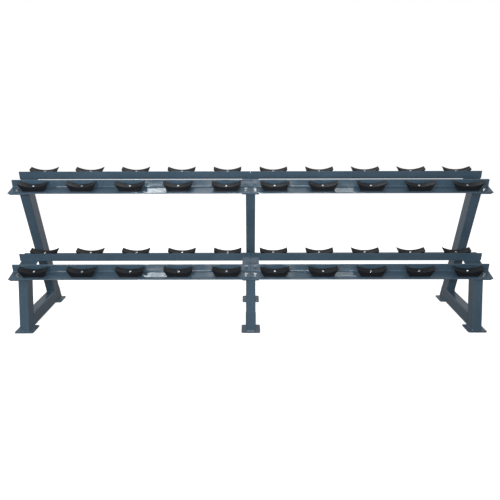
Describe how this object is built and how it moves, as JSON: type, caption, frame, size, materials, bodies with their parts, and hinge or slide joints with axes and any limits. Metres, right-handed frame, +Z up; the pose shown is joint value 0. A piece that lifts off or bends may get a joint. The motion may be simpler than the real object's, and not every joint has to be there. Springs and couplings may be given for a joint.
{
  "type": "dumbbell rack",
  "caption": "Two-tier steel dumbbell rack with sloping tiers of angle rails and moulded saddles that cradle the heads of dumbbells.",
  "frame": {"origin": "on the floor, under the middle of the rack's length and depth", "axes": "+X along the rack, +Y from the front to the rear, +Z up"},
  "size_m": [2.5, 0.5992, 0.8632],
  "materials": {
    "frame_paint": "semi-gloss slate blue-grey powder coat",
    "saddle_plastic": "near-black moulded plastic, low sheen",
    "zinc_plate": "bright zinc plate"
  },
  "bodies": {
    "root": {"left_front_leg": "frame_paint", "left_base_beam": "frame_paint", "left_beam_end_cap": "frame_paint", "left_rear_upright": "frame_paint", "left_front_foot_plate": "frame_paint", "left_rear_foot_plate": "frame_paint", "left_lower_tier_plate": "frame_paint", "left_upper_tier_plate": "frame_paint", "centre_front_leg": "frame_paint", "centre_base_beam": "frame_paint", "centre_beam_end_cap": "frame_paint", "centre_rear_upright": "frame_paint", "centre_front_foot_plate": "frame_paint", "centre_rear_foot_plate": "frame_paint", "centre_lower_tier_plate": "frame_paint", "centre_upper_tier_plate": "frame_paint", "right_front_leg": "frame_paint", "right_base_beam": "frame_paint", "right_beam_end_cap": "frame_paint", "right_rear_upright": "frame_paint", "right_front_foot_plate": "frame_paint", "right_rear_foot_plate": "frame_paint", "right_lower_tier_plate": "frame_paint", "right_upper_tier_plate": "frame_paint", "lower_front_left_rail": "frame_paint", "lower_front_left_saddles": "saddle_plastic", "lower_front_right_rail": "frame_paint", "lower_front_right_saddles": "saddle_plastic", "lower_rear_left_rail": "frame_paint", "lower_rear_left_saddles": "saddle_plastic", "lower_rear_right_rail": "frame_paint", "lower_rear_right_saddles": "saddle_plastic", "upper_front_left_rail": "frame_paint", "upper_front_left_saddles": "saddle_plastic", "upper_front_right_rail": "frame_paint", "upper_front_right_saddles": "saddle_plastic", "upper_rear_left_rail": "frame_paint", "upper_rear_left_saddles": "saddle_plastic", "upper_rear_right_rail": "frame_paint", "upper_rear_right_saddles": "saddle_plastic", "lower_saddle_screws": "zinc_plate", "lower_saddle_nuts": "zinc_plate", "lower_rail_bolts": "zinc_plate", "lower_rail_bolt_top_washers": "zinc_plate", "lower_rail_bolt_lower_washers": "zinc_plate", "lower_rail_bolt_nuts": "zinc_plate", "upper_saddle_screws": "zinc_plate", "upper_saddle_nuts": "zinc_plate", "upper_rail_bolts": "zinc_plate", "upper_rail_bolt_top_washers": "zinc_plate", "upper_rail_bolt_lower_washers": "zinc_plate", "upper_rail_bolt_nuts": "zinc_plate"}
  },
  "joints": []
}
